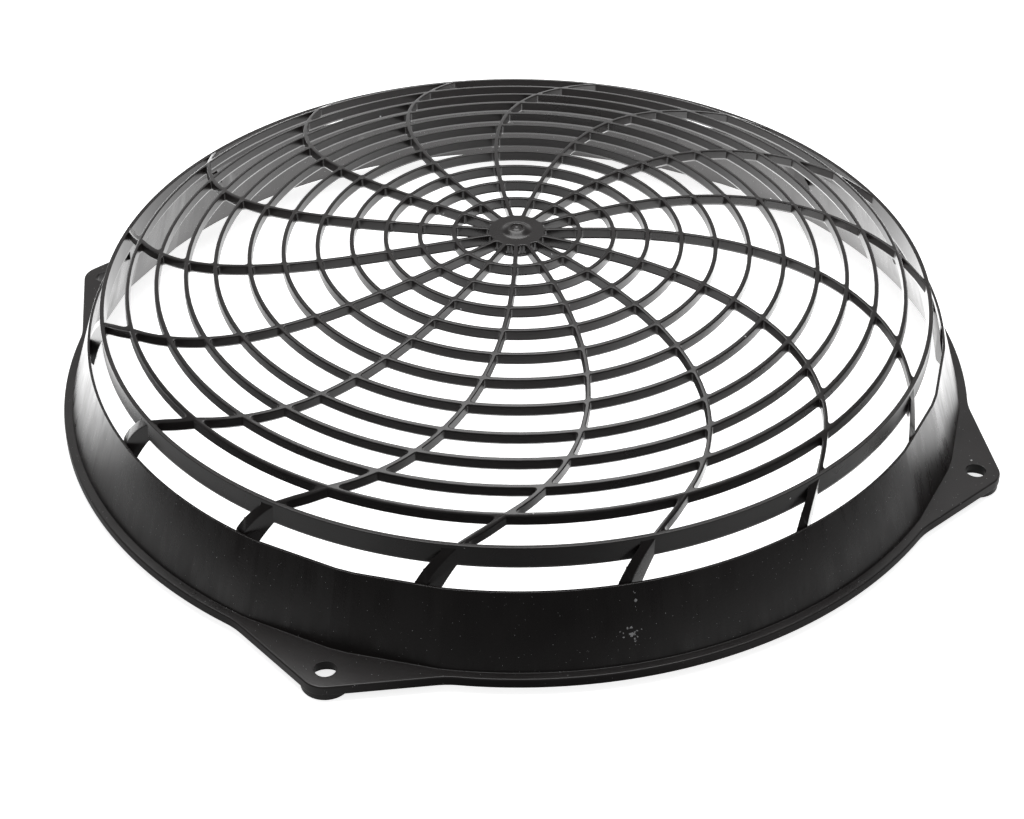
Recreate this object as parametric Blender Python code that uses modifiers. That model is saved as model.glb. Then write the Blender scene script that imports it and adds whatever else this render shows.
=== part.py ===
"""Fan guard: a black moulded cover for a 300 mm axial fan.

The guard is one piece. A small hub, eleven thin rings and a tall outer band are joined by
fifteen curved spokes into a shallow dome. Each spoke runs on as a short fin to the rim of a
leaning skirt, and the skirt stands in a narrow flange with four screw lugs.
Metres, +Z up. The guard's axis is the Z axis, and Z = 0 is the plane of the feet.
"""
import math

import bmesh
import bpy
from mathutils import Matrix, Vector

# Flange with four lugs, the feet under them and their screw holes
FLANGE_RADIUS = 0.1712
FLANGE_THICKNESS = 0.0038
LUG_COUNT = 4
FIRST_LUG_ANGLE = math.radians(45)
SCREW_REACH = 0.0062
SCREW_HOLE_RADIUS = 0.0036
LUG_TIP_RADIUS = 0.0087
LUG_SIDE_ANGLE = math.radians(28)
LUG_BLEND_RADIUS = 0.030
FOOT_HEIGHT = 0.0022
FOOT_SETBACK = 0.0003

# Skirt, which leans inward from the flange up to its rim
SKIRT_HEIGHT = 0.0272
SKIRT_SETBACK = 0.0040
SKIRT_LEAN_IN = 0.0075
SKIRT_WALL = 0.0018
SKIRT_FILLET = 0.0015

# Grille of rings and spokes
RIB_THICKNESS = 0.0019
RIB_HEIGHT_AT_HUB = 0.0036
RIB_HEIGHT_AT_BAND = 0.0040
FIRST_RING_RADIUS = 0.0230
INNER_RING_COUNT = 8
OUTER_RING_COUNT = 3
OUTER_PITCH = 0.0109
LAST_RING_GAP = 0.00965
BAND_HEIGHT = 0.0083
BAND_SIDE_GAP = 0.0041
BAND_RISE = 0.0054
BAND_DROP = 0.0028
DOME_SAG = 0.0189
DOME_POWER = 2.34

# Spokes: each leaves the hub straight outward and meets the band square to that direction.
# A turn of -1 bends them clockwise as seen from above.
SPOKE_COUNT = 15
FIRST_SPOKE_ANGLE = math.radians(-116)
SPOKE_TURN = -1
SPOKE_SWEEP = math.radians(29.8)
SPOKE_ROOT_SHARE = 0.28
SPOKE_TIP_SHARE = 0.484
SPOKE_STEP = 0.0003
SPOKE_SEAT = 0.0025
FIN_BULGE = 1.4
FIN_SEAT = 0.0015

# Hub with its crown and the dish where the mould was filled
HUB_RADIUS = 0.0105
HUB_ROUND = 0.0010
HUB_HEIGHT = 0.0054
CROWN_RADIUS = 0.0062
CROWN_HEIGHT = 0.0015
DISH_RADIUS = 0.0032
DISH_DEPTH = 0.0007

# Facets
FLANGE_SEGMENTS = 15
BLEND_SEGMENTS = 3
TIP_SEGMENTS = 6
FILLET_SEGMENTS = 2
OPENING_SEGMENTS = 36
SKIRT_STEPS = 72
BAND_STEPS = 54
HUB_STEPS = 20
HOLE_STEPS = 14
RING_STEPS_AT_HUB = 20
RING_STEPS_AT_BAND = 46
SPOKE_SEGMENTS = 9
FIN_SEGMENTS = 3
WELD_DISTANCE = 0.000001
FLAT_ANGLE = math.radians(0.5)

# Places that follow from the sizes above
SCREW_CIRCLE_RADIUS = FLANGE_RADIUS + SCREW_REACH
SKIRT_FOOT_RADIUS = FLANGE_RADIUS - SKIRT_SETBACK
SKIRT_TOP_RADIUS = SKIRT_FOOT_RADIUS - SKIRT_LEAN_IN
FLANGE_TOP = FOOT_HEIGHT + FLANGE_THICKNESS
RIM_HEIGHT = FLANGE_TOP + SKIRT_HEIGHT
RIM_INNER_RADIUS = SKIRT_TOP_RADIUS - SKIRT_WALL
RIM_MIDDLE_RADIUS = SKIRT_TOP_RADIUS - SKIRT_WALL / 2
BAND_RADIUS = RIM_INNER_RADIUS - BAND_SIDE_GAP - RIB_THICKNESS / 2
BAND_BOTTOM = RIM_HEIGHT + BAND_RISE
BAND_TOP = BAND_BOTTOM + BAND_HEIGHT
DOME_APEX = BAND_TOP + BAND_DROP + DOME_SAG
FOOT_RADIUS = LUG_TIP_RADIUS - FOOT_SETBACK
CUT_MARGIN = 0.005

PLASTIC_COLOUR = (0.018, 0.017, 0.017, 1.0)
PLASTIC_ROUGHNESS = 0.35


def clear_scene():
    for item in list(bpy.data.objects):
        bpy.data.objects.remove(item, do_unlink=True)


def new_collection(name):
    collection = bpy.data.collections.new(name)
    bpy.context.scene.collection.children.link(collection)
    return collection


def plastic():
    material = bpy.data.materials.new("black_plastic")
    material.use_nodes = True
    shader = material.node_tree.nodes["Principled BSDF"]
    shader.inputs["Base Color"].default_value = PLASTIC_COLOUR
    shader.inputs["Roughness"].default_value = PLASTIC_ROUGHNESS
    shader.inputs["Metallic"].default_value = 0.0
    return material


def mesh_object(name, mesh, collection):
    item = bpy.data.objects.new(name, mesh)
    collection.objects.link(item)
    return item


def as_guide(item):
    item.hide_render = True
    item.display_type = 'WIRE'
    return item


def turned(name, profile, steps, collection, closed=False):
    """Turn a profile of (radius, height) points once round the Z axis."""
    shape = bmesh.new()
    corners = [shape.verts.new((radius, 0.0, height)) for radius, height in profile]
    for start, end in zip(corners, corners[1:]):
        shape.edges.new((start, end))
    if closed:
        shape.edges.new((corners[-1], corners[0]))
    mesh = bpy.data.meshes.new(name)
    shape.to_mesh(mesh)
    shape.free()
    item = as_guide(mesh_object(name, mesh, collection))
    screw = item.modifiers.new("turn", 'SCREW')
    screw.axis = 'Z'
    screw.angle = math.tau
    screw.steps = steps
    screw.render_steps = steps
    screw.use_merge_vertices = True
    screw.merge_threshold = 0.00001
    return item


def cylinder(name, radius, bottom, top, place, steps, collection):
    shape = bmesh.new()
    bmesh.ops.create_cone(shape, cap_ends=True, segments=steps, radius1=radius, radius2=radius,
                          depth=top - bottom, matrix=Matrix.Translation((0, 0, (top + bottom) / 2)))
    mesh = bpy.data.meshes.new(name)
    shape.to_mesh(mesh)
    shape.free()
    item = as_guide(mesh_object(name, mesh, collection))
    item.location = place
    return item


def combine(item, operation, name, collection):
    boolean = item.modifiers.new(name, 'BOOLEAN')
    boolean.operation = operation
    boolean.solver = 'EXACT'
    boolean.operand_type = 'COLLECTION'
    boolean.collection = collection


def merge_flat_faces(item):
    """Take out the edges that the Booleans leave inside flat faces."""
    dissolve = item.modifiers.new("flat faces", 'DECIMATE')
    dissolve.decimate_type = 'DISSOLVE'
    dissolve.angle_limit = FLAT_ANGLE


def arc(centre, radius, start, end, segments):
    """Points on an arc, both ends included."""
    angles = [start + (end - start) * step / segments for step in range(segments + 1)]
    return [centre + radius * Vector((math.cos(angle), math.sin(angle))) for angle in angles]


def lug_angles():
    return [FIRST_LUG_ANGLE + math.tau * index / LUG_COUNT for index in range(LUG_COUNT)]


def screw_places():
    return [Vector((SCREW_CIRCLE_RADIUS * math.cos(angle), SCREW_CIRCLE_RADIUS * math.sin(angle), 0))
            for angle in lug_angles()]


def flange_outline():
    """The flange circle, broken at each lug by a blend, a straight side and a round tip."""
    side_distance = SCREW_CIRCLE_RADIUS * math.cos(LUG_SIDE_ANGLE) + LUG_TIP_RADIUS
    blend_distance = FLANGE_RADIUS + LUG_BLEND_RADIUS
    reach = math.acos((side_distance + LUG_BLEND_RADIUS) / blend_distance)
    blend_angle = LUG_SIDE_ANGLE - reach
    tip_centre = Vector((SCREW_CIRCLE_RADIUS, 0))
    blend_centre = blend_distance * Vector((math.cos(blend_angle), math.sin(blend_angle)))
    mirrored_centre = Vector((blend_centre.x, -blend_centre.y))
    lug = (arc(mirrored_centre, LUG_BLEND_RADIUS, math.pi - blend_angle, math.pi - LUG_SIDE_ANGLE,
               BLEND_SEGMENTS)
           + arc(tip_centre, LUG_TIP_RADIUS, -LUG_SIDE_ANGLE, LUG_SIDE_ANGLE, TIP_SEGMENTS)
           + arc(blend_centre, LUG_BLEND_RADIUS, math.pi + LUG_SIDE_ANGLE, math.pi + blend_angle,
                 BLEND_SEGMENTS))
    span = math.tau / LUG_COUNT
    circle = arc(Vector((0, 0)), FLANGE_RADIUS, blend_angle, span - blend_angle, FLANGE_SEGMENTS)[1:-1]
    points = []
    for angle in lug_angles():
        turn = Matrix.Rotation(angle, 2)
        points += [turn @ point for point in lug + circle]
    return points


def outline_spline(curve, points):
    spline = curve.splines.new('POLY')
    spline.points.add(len(points) - 1)
    for spline_point, point in zip(spline.points, points):
        spline_point.co = (point.x, point.y, 0.0, 1.0)
    spline.use_cyclic_u = True


def flange_plate(collection):
    """The flat flange as a filled outline, open in the middle where the skirt stands."""
    curve = bpy.data.curves.new("flange_outline", 'CURVE')
    curve.dimensions = '2D'
    curve.fill_mode = 'BOTH'
    curve.extrude = FLANGE_THICKNESS / 2
    outline_spline(curve, flange_outline())
    opening_radius = (SKIRT_FOOT_RADIUS + skirt_inner_foot()) / 2
    outline_spline(curve, arc(Vector((0, 0)), opening_radius, 0.0, math.tau, OPENING_SEGMENTS)[:-1])
    guide = bpy.data.objects.new("flange_outline", curve)
    mesh = bpy.data.meshes.new_from_object(guide)
    bpy.data.objects.remove(guide)
    shape = bmesh.new()
    shape.from_mesh(mesh)
    bmesh.ops.remove_doubles(shape, verts=shape.verts, dist=WELD_DISTANCE)
    shape.to_mesh(mesh)
    shape.free()
    plate = mesh_object("fan_guard", mesh, collection)
    plate.location.z = FOOT_HEIGHT + FLANGE_THICKNESS / 2
    return plate


def skirt_lean():
    """How far the wall moves inward for each metre that it rises."""
    return (SKIRT_FOOT_RADIUS - SKIRT_TOP_RADIUS) / SKIRT_HEIGHT


def skirt_inner_foot():
    """Radius of the inside of the wall where it meets the underside of the flange."""
    return RIM_INNER_RADIUS + (RIM_HEIGHT - FOOT_HEIGHT) * skirt_lean()


def skirt(collection):
    """The leaning wall with the fillet at its foot, turned as one closed section."""
    wall_angle = math.atan(skirt_lean())
    tangent = SKIRT_FILLET * math.tan((math.pi / 2 - wall_angle) / 2)
    centre = Vector((SKIRT_FOOT_RADIUS + tangent, FLANGE_TOP + SKIRT_FILLET))
    fillet = arc(centre, SKIRT_FILLET, math.pi + wall_angle, math.pi * 1.5, FILLET_SEGMENTS)
    section = [(RIM_INNER_RADIUS, RIM_HEIGHT), (SKIRT_TOP_RADIUS, RIM_HEIGHT)]
    section += [tuple(point) for point in fillet]
    section += [(centre.x, FOOT_HEIGHT), (skirt_inner_foot(), FOOT_HEIGHT)]
    return turned("skirt", section, SKIRT_STEPS, collection, closed=True)


def feet(collection):
    for place in screw_places():
        cylinder("foot", FOOT_RADIUS, 0.0, FLANGE_TOP - FLANGE_THICKNESS / 2, place, HOLE_STEPS, collection)


def screw_holes(collection):
    for place in screw_places():
        cylinder("screw_hole", SCREW_HOLE_RADIUS, -CUT_MARGIN, FLANGE_TOP + CUT_MARGIN, place,
                 HOLE_STEPS, collection)


def ring_radii():
    """Ring centres: evenly spaced to the shoulder, then closer together toward the band."""
    shoulder = BAND_RADIUS - LAST_RING_GAP - OUTER_RING_COUNT * OUTER_PITCH
    inner_pitch = (shoulder - FIRST_RING_RADIUS) / (INNER_RING_COUNT - 1)
    inner = [FIRST_RING_RADIUS + inner_pitch * index for index in range(INNER_RING_COUNT)]
    return inner + [shoulder + OUTER_PITCH * (index + 1) for index in range(OUTER_RING_COUNT)]


def dome_height(radius):
    """Height of the ring tops."""
    return DOME_APEX - DOME_SAG * (radius / BAND_RADIUS) ** DOME_POWER


def between(at_hub, at_band, radius):
    return at_hub + (at_band - at_hub) * radius / BAND_RADIUS


def rib_height(radius):
    return between(RIB_HEIGHT_AT_HUB, RIB_HEIGHT_AT_BAND, radius)


def ring(name, radius, bottom, top, steps, collection):
    inner = radius - RIB_THICKNESS / 2
    outer = radius + RIB_THICKNESS / 2
    section = [(inner, top), (outer, top), (outer, bottom), (inner, bottom)]
    return turned(name, section, steps, collection, closed=True)


def rings(collection):
    for radius in ring_radii():
        top = dome_height(radius)
        steps = round(between(RING_STEPS_AT_HUB, RING_STEPS_AT_BAND, radius))
        ring("ring", radius, top - rib_height(radius), top, steps, collection)
    ring("band", BAND_RADIUS, BAND_BOTTOM, BAND_TOP, BAND_STEPS, collection)


def spoke_plan(share):
    """Centre line of a spoke seen from above, as a cubic curve from the hub to the band."""
    start = Vector((HUB_RADIUS, 0))
    end = BAND_RADIUS * Vector((math.cos(SPOKE_SWEEP), math.sin(SPOKE_SWEEP)))
    first_handle = start + Vector((SPOKE_ROOT_SHARE * BAND_RADIUS, 0))
    second_handle = end - Vector((0, SPOKE_TIP_SHARE * BAND_RADIUS))
    rest = 1 - share
    return (rest ** 3 * start + 3 * rest ** 2 * share * first_handle
            + 3 * rest * share ** 2 * second_handle + share ** 3 * end)


def fin_length():
    """Distance from the band's centre line to the middle of the skirt's rim, along the fin."""
    start = spoke_plan(1.0)
    return math.sqrt(RIM_MIDDLE_RADIUS ** 2 - start.x ** 2) - start.y


def spoke_station(plan):
    """Plan point, top and bottom of the spoke where it crosses the rings."""
    radius = plan.length
    last_ring = ring_radii()[-1]
    ramp = max(0.0, (radius - last_ring) / (BAND_RADIUS - last_ring))
    top = dome_height(radius) - BAND_DROP * ramp - SPOKE_STEP
    return plan, top, top - rib_height(radius) - SPOKE_STEP


def fin_station(share):
    """Plan point, top and bottom of the fin, from the band at 0 to the skirt's rim at 1."""
    plan = spoke_plan(1.0) + Vector((0, share * fin_length()))
    fall = 1 - (1 - share ** FIN_BULGE) ** (1 / FIN_BULGE)
    start_top = BAND_TOP - SPOKE_STEP
    end_top = RIM_HEIGHT + SPOKE_STEP
    start_bottom = BAND_BOTTOM + SPOKE_STEP
    end_bottom = RIM_HEIGHT - FIN_SEAT
    top = start_top + (end_top - start_top) * fall
    bottom = start_bottom + (end_bottom - start_bottom) * share
    return plan, top, bottom


def spoke_stations():
    root = Vector((HUB_RADIUS - SPOKE_SEAT, 0))
    plans = [root] + [spoke_plan(step / SPOKE_SEGMENTS) for step in range(SPOKE_SEGMENTS)]
    fins = [fin_station(step / FIN_SEGMENTS) for step in range(FIN_SEGMENTS + 1)]
    return [spoke_station(plan) for plan in plans] + fins


def spoke_mesh():
    """A standing ribbon, bent along the spoke and its fin."""
    stations = spoke_stations()
    last = len(stations) - 1
    shape = bmesh.new()
    bmesh.ops.create_grid(shape, x_segments=last, y_segments=1, size=1.0)
    for vertex in shape.verts:
        plan, top, bottom = stations[round((vertex.co.x + 1) / 2 * last)]
        vertex.co = (plan.x, SPOKE_TURN * plan.y, top if vertex.co.y > 0 else bottom)
    mesh = bpy.data.meshes.new("spoke")
    shape.to_mesh(mesh)
    shape.free()
    return mesh


def spokes(collection):
    mesh = spoke_mesh()
    for index in range(SPOKE_COUNT):
        spoke = as_guide(mesh_object("spoke", mesh, collection))
        spoke.rotation_euler.z = FIRST_SPOKE_ANGLE + math.tau * index / SPOKE_COUNT
        blade = spoke.modifiers.new("thickness", 'SOLIDIFY')
        blade.thickness = RIB_THICKNESS
        blade.offset = 0.0
        blade.use_even_offset = True


def hub(collection):
    """A flat disc with a rounded edge, a low crown and the dish in the crown's middle."""
    edge_centre = Vector((HUB_RADIUS - HUB_ROUND, DOME_APEX - HUB_ROUND))
    edge = arc(edge_centre, HUB_ROUND, math.pi / 2, 0.0, 3)
    crown_top = DOME_APEX + CROWN_HEIGHT
    crown = [(DISH_RADIUS + (CROWN_RADIUS - DISH_RADIUS) * step / 3,
              DOME_APEX + CROWN_HEIGHT * (1 + math.cos(math.pi * step / 3)) / 2) for step in range(4)]
    profile = [(0.0, crown_top - DISH_DEPTH), (DISH_RADIUS - DISH_DEPTH, crown_top - DISH_DEPTH)]
    profile += crown + [(point.x, point.y) for point in edge]
    profile += [(HUB_RADIUS, DOME_APEX - HUB_HEIGHT), (0.0, DOME_APEX - HUB_HEIGHT)]
    return turned("hub", profile, HUB_STEPS, collection)


def fan_guard():
    part = new_collection("fan_guard")
    grille = new_collection("grille")
    walls = new_collection("walls")
    hole_set = new_collection("screw_holes")
    guard = flange_plate(part)
    guard.data.materials.append(plastic())
    skirt(walls)
    feet(walls)
    combine(guard, 'UNION', "skirt and feet", walls)
    screw_holes(hole_set)
    combine(guard, 'DIFFERENCE', "screw holes", hole_set)
    rings(grille)
    spokes(grille)
    hub(grille)
    combine(guard, 'UNION', "grille", grille)
    merge_flat_faces(guard)


def main():
    clear_scene()
    fan_guard()


if __name__ == "__main__":
    main()
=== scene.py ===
"""Fan guard: the visual model of a black moulded guard for an axial fan, with its stage."""

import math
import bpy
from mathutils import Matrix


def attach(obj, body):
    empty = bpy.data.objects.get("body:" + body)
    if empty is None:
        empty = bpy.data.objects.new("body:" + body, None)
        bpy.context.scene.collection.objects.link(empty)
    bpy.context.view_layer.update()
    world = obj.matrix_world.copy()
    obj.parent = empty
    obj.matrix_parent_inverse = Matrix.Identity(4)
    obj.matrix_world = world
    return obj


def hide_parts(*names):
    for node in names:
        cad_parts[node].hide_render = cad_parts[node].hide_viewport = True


bl_info = {
    "name": "Fan Guard",
    "version": (1, 0, 0),
    "blender": (4, 5, 0),
    "location": "3D View > Sidebar > Fan Guard",
    "description": "Models a domed fan guard of rings and curved spokes on a leaning skirt",
    "category": "Add Mesh",
}

import bmesh
import bpy
from bpy.props import FloatProperty, FloatVectorProperty, IntProperty, PointerProperty
from mathutils import Matrix, Quaternion, Vector

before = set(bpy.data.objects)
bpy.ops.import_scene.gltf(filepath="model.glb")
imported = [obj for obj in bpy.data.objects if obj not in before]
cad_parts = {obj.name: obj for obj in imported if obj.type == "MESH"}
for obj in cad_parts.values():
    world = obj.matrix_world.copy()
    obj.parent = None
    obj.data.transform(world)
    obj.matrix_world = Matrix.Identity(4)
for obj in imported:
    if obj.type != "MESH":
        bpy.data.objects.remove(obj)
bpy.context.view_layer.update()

NODE = "fan_guard"
BODY = "root"

# Steps of the grids and curves
CELL_STEPS = 9
GAP_STEPS = 4
CORNER_STEPS = 4
ROUND_STEPS = 3
EDGE_STEPS = 2
CIRCLE_STEPS = 240
CROWN_STEPS = 7
LUG_TIP_STEPS = 14
LUG_BLEND_STEPS = 8
FLANGE_STEPS = 52
FILLET_STEPS = 8
HOLE_STEPS = 48
FIN_STEPS = 32
FIN_BLUNT_STEPS = 10
FIN_SHARP_STEPS = 3
SEARCH_STEPS = 40

# Limits and clearances
SMALLEST_OPENING = 12
SHARP_TURN = math.radians(20)
SAME_TURN = 0.0006
CORNER_SPARE = 1.2
WIDEST_CORNER = 0.43
CORNER_FILL = 0.94
WALL_OVERLAP = 0.00025
SURFACE_STEP = 0.00005
FIN_FOOT_HEIGHT = 0.0012
STEEP = 0.3
FLAT_SIDE = 0.1
LEVEL_MARK = 0.001
MERGE = 0.000002
SMOOTH_ANGLE = math.radians(50)

# The gate's mark: its lip as a share of its radius, then (share of the radius, depth in lips)
GATE_LIP = 0.10
GATE_RINGS = ((0.9, 0.5), (0.8, 2), (0.55, 2), (0.45, 1), (0.25, 1), (0.12, 3))

# Finish
PLASTIC_IOR = 1.46
NOISE_SPAN = (0.3, 0.7)
EITHER_WAY = (-1.0, 1.0)
CHIP_RAGGED = (-0.15, 0.15)
TONE_LIFT = 1.35
MARK_ROUGHNESS = 0.4
BUMP = {"Strength": 0.08, "Distance": 0.0002}
STREAK_WEIGHTS = {"Streak": 1.0, "Blotch": 2.5}
STREAK_HEIGHT = 0.10
BASE_STREAKS = 0.035
UPPER_CHIPS = {"Radius": 0.0045, "Size": 0.55}
LOWER_CHIPS = {"Radius": 0.0055, "Size": 0.8}

# Stage: a turn is the cosine of the angle to a heading, a reach is a distance from the axis
BRIGHT_TURN = (-0.30, 0.0)
SHADE_TURN = (0.9, 1.0)
SHADE_LEVEL = 0.25
NEAR_REACH = (0.20, 0.26)
WIDE_REACH = (0.3, 0.6)
WIDE_LEVEL = 1.0
SKIRT_SHADOW_REACH = (0.175, 0.205)
SKIRT_SHADOW_LEVEL = 0.28
BESIDE_TURN = (0.3, 0.9)
BESIDE_REACH = (0.05, 0.16)
MIDDLE_REACH = (0.055, 0.09)
GUARD_REACH = (0.160, 0.172)
ABOVE_RISE = (0.0, 0.6)
BEHIND_TURN = (0.4, 0.95)
BEHIND_RISE = (0.0, 0.5)
BEHIND_LEVEL = 0.17
FLOOR_ROUGHNESS = 0.9
SENSOR_WIDTH = 36.0
BLACK = (0.0, 0.0, 0.0, 1.0)
WHITE = (1.0, 1.0, 1.0, 1.0)


def length(name, text, value):
    return FloatProperty(name=name, description=text, default=value, unit='LENGTH', subtype='DISTANCE',
                         precision=5)


def angle(name, text, degrees):
    return FloatProperty(name=name, description=text, default=math.radians(degrees), unit='ROTATION',
                         subtype='ANGLE')


def share(name, text, value):
    return FloatProperty(name=name, description=text, default=value, min=0.0, max=1.0, subtype='FACTOR')


def number(name, text, value):
    return FloatProperty(name=name, description=text, default=value)


def count(name, text, value):
    return IntProperty(name=name, description=text, default=value, min=1)


def colour(name, text, value):
    return FloatVectorProperty(name=name, description=text, default=value, size=3, min=0.0, max=1.0,
                               subtype='COLOR')


def position(name, text, value):
    return FloatVectorProperty(name=name, description=text, default=value, size=3, unit='LENGTH',
                               subtype='TRANSLATION', precision=5)


class GuardGrilleSizes(bpy.types.PropertyGroup):
    """Sizes of the hub, rings, spokes, fins and band."""
    first_ring: length("First ring", "Radius of the smallest ring", 0.0230)
    shoulder: length("Shoulder ring", "Radius of the last evenly spaced ring", 0.1105)
    inner_rings: count("Inner rings", "Rings from the first to the shoulder", 8)
    outer_rings: count("Outer rings", "Rings between the shoulder and the band", 3)
    outer_pitch: length("Outer pitch", "Spacing of the outer rings", 0.0109)
    band: length("Band", "Radius of the middle of the band's wall", 0.15285)
    band_top: length("Band top", "Height of the band's top edge", 0.0469)
    band_height: length("Band height", "Height of the band's wall", 0.0083)
    band_drop: length("Band drop", "How far the band lies under the dome's line", 0.0028)
    dome_sag: length("Dome sag", "Fall of the dome from its middle to the band", 0.0189)
    dome_power: number("Dome power", "How late the dome falls away toward the band", 2.34)
    rib_width: length("Rib width", "Widest width of a ring or spoke", 0.0019)
    rib_top_width: length("Rib top width", "Width of a rib just under its rounded top", 0.0016)
    rib_foot_width: length("Rib foot width", "Width of a rib's underside", 0.0008)
    rib_round: length("Rib rounding", "Radius of a rib's top edges", 0.00042)
    rib_height_hub: length("Rib height at hub", "Height of the ribs near the hub", 0.0043)
    rib_height_band: length("Rib height at band", "Height of the ribs near the band", 0.0041)
    band_round: length("Band rounding", "Radius of the band's edges", 0.00025)
    fin_corner: length("Fin corner", "Radius between a fin and the band", 0.0005)
    parting: length("Parting line", "Height of the widest line above a rib's underside", 0.0009)
    corner: length("Corner rounding", "Radius where a ring and a spoke meet", 0.0007)
    spokes: count("Spokes", "Number of spokes", 15)
    first_spoke: angle("First spoke", "Heading of the first spoke at the hub", -116.0)
    spoke_sweep: angle("Spoke sweep", "How far round a spoke runs before the band", 29.8)
    spoke_root: share("Spoke root", "Root handle of the spoke's curve as a share of the band", 0.28)
    spoke_tip: share("Spoke tip", "Tip handle of the spoke's curve as a share of the band", 0.484)
    hub: length("Hub", "Radius of the hub's disc", 0.0105)
    hub_height: length("Hub height", "Thickness of the hub's disc", 0.0054)
    crown: length("Crown", "Radius of the raised crown", 0.0062)
    crown_height: length("Crown height", "Height of the crown above the disc", 0.0014)
    gate: length("Gate", "Radius of the ring left by the mould's gate", 0.0026)


class GuardBaseSizes(bpy.types.PropertyGroup):
    """Sizes of the skirt, flange, lugs and feet."""
    flange: length("Flange", "Radius of the flange", 0.1712)
    flange_thickness: length("Flange thickness", "Thickness of the flange", 0.0038)
    flange_round: length("Flange rounding", "Radius of the flange's edges", 0.0006)
    lugs: count("Lugs", "Number of screw lugs", 4)
    first_lug: angle("First lug", "Heading of the first lug", 45.0)
    screw_circle: length("Screw circle", "Radius of the circle of screw holes", 0.1774)
    screw_hole: length("Screw hole", "Radius of a screw hole", 0.0036)
    counterbore: length("Counterbore", "Radius of the wider bore under a screw hole", 0.0060)
    bore_land: length("Bore land", "Height of a screw hole above its counterbore", 0.0026)
    lug_tip: length("Lug tip", "Radius of a lug's round tip", 0.0087)
    lug_side: angle("Lug side", "Slope of a lug's straight sides", 28.0)
    lug_blend: length("Lug blend", "Radius of the blend from lug to flange", 0.030)
    foot: length("Foot", "Radius of the round foot under a lug", 0.0084)
    foot_height: length("Foot height", "Height of the feet under the flange", 0.0022)
    skirt_height: length("Skirt height", "Height of the skirt above the flange", 0.0272)
    skirt_top: length("Skirt top", "Outer radius of the skirt's rim", 0.1595)
    skirt_foot: length("Skirt foot", "Outer radius of the skirt at the flange", 0.1679)
    skirt_wall: length("Skirt wall", "Thickness of the skirt at the flange", 0.0018)
    rim_wall: length("Rim wall", "Thickness of the skirt at its rim", 0.0011)
    skirt_fillet: length("Skirt fillet", "Radius between the skirt and the flange", 0.0003)
    rim_round: length("Rim rounding", "Radius of the rim's edges", 0.0003)
    fin_bulge: number("Fin bulge", "Roundness of a fin's top edge", 1.2)
    fin_skew: share("Fin skew", "Sideways drift of a fin's blunt side for each length outward", 0.27)
    fin_lag: share("Fin lag", "Drift of a fin's sharp side as a share of the other side's", 0.4)
    fin_slope: number("Fin slope", "Slope of a fin's lower edge where it leaves the band", 2.8)
    fin_curve: number("Fin curve", "How fast a fin's lower edge steepens, in one part in a metre", 100.0)
    fin_foot: length("Fin foot", "Height where a fin's lower edge meets the skirt", 0.0220)


class GuardFinish(bpy.types.PropertyGroup):
    """Colour and surface of the plastic."""
    plastic: colour("Plastic", "Colour of the moulded plastic", (0.0102, 0.0084, 0.0082))
    roughness: share("Roughness", "Roughness of the plastic", 0.30)
    speck: colour("Specks", "Colour of dust and small chips", (0.45, 0.45, 0.46))
    floor: colour("Floor", "Colour of the floor", (0.9, 0.9, 0.9))
    chips_upper: position("Upper chips", "Middle of the upper cluster of chips", (-0.0316, -0.1580, 0.0277))
    chips_lower: position("Lower chips", "Middle of the lower cluster of chips", (-0.0324, -0.1613, 0.0157))


class GuardStage(bpy.types.PropertyGroup):
    """Camera and lights."""
    lens: number("Lens", "Focal length in millimetres on a 36 mm sensor", 79.49)
    roll: angle("Roll", "Roll of the camera", 0.196)
    floor_glow: number("Floor glow", "Strength of the floor's own light as seen by the camera", 0.8)
    floor_under: number("Floor under", "Strength of the floor's light under the guard's rings", 2.3)
    floor_middle: number("Floor middle", "Strength of the floor's light under the hub", 0.05)
    floor_near: number("Floor near", "Strength of the floor's light close round the guard", 0.8)
    floor_bright: number("Floor bright", "Strength of the floor's light on the bright side", 4.8)
    floor_dim: number("Floor dim", "Strength of the floor's light on the dim side", 0.12)
    bright_side: angle("Bright side", "Heading of the side where floor and surround are bright", 66.0)
    bright_under: angle("Bright under", "Heading where the floor under the rings is brightest", -25.0)
    overhead: number("Overhead light", "Power of the soft box overhead, in watts", 21.0)
    overhead_size: length("Overhead size", "Side of the square soft box", 1.1)
    overhead_place: position("Overhead place", "Place of the soft box", (0.15, 0.40, 1.4))
    surround: number("Surround", "Strength of the grey surround overhead", 0.3)
    horizon: number("Horizon", "Strength of the surround at the horizon", 0.04)
    backdrop: number("Backdrop", "Strength of the surround on the bright side", 1.0)
    floor_size: length("Floor size", "Side of the square floor", 8.0)
    camera_place: position("Camera place", "Place of the camera", (-0.2931, -0.6366, 0.5160))
    camera_aim: position("Camera aim", "Point in the middle of the picture", (-0.00135, 0.00062, -0.0139))


# Editing
def deselect_all():
    if bpy.context.object and bpy.context.object.mode != 'OBJECT':
        bpy.ops.object.mode_set(mode='OBJECT')
    bpy.ops.object.select_all(action='DESELECT')


def make_active(item):
    deselect_all()
    item.select_set(True)
    bpy.context.view_layer.objects.active = item


def edit(item):
    make_active(item)
    bpy.ops.object.mode_set(mode='EDIT')
    return bmesh.from_edit_mesh(item.data)


def leave_edit():
    bpy.ops.object.mode_set(mode='OBJECT')


def select_only(item, mode, choose):
    """Select the faces, edges or vertices that a function chooses from the mesh being edited."""
    bpy.ops.mesh.select_mode(type=mode)
    shape = bmesh.from_edit_mesh(item.data)
    for elements in (shape.faces, shape.edges, shape.verts):
        for element in elements:
            element.select = False
    for element in choose(shape):
        element.select = True
    shape.select_flush_mode()
    bmesh.update_edit_mesh(item.data)


def select_edges(item, test):
    select_only(item, 'EDGE', lambda shape: [line for line in shape.edges if test(line)])


def merge():
    """Merge what meets in the mesh being edited."""
    bpy.ops.mesh.select_all(action='SELECT')
    bpy.ops.mesh.remove_doubles(threshold=MERGE)


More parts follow.
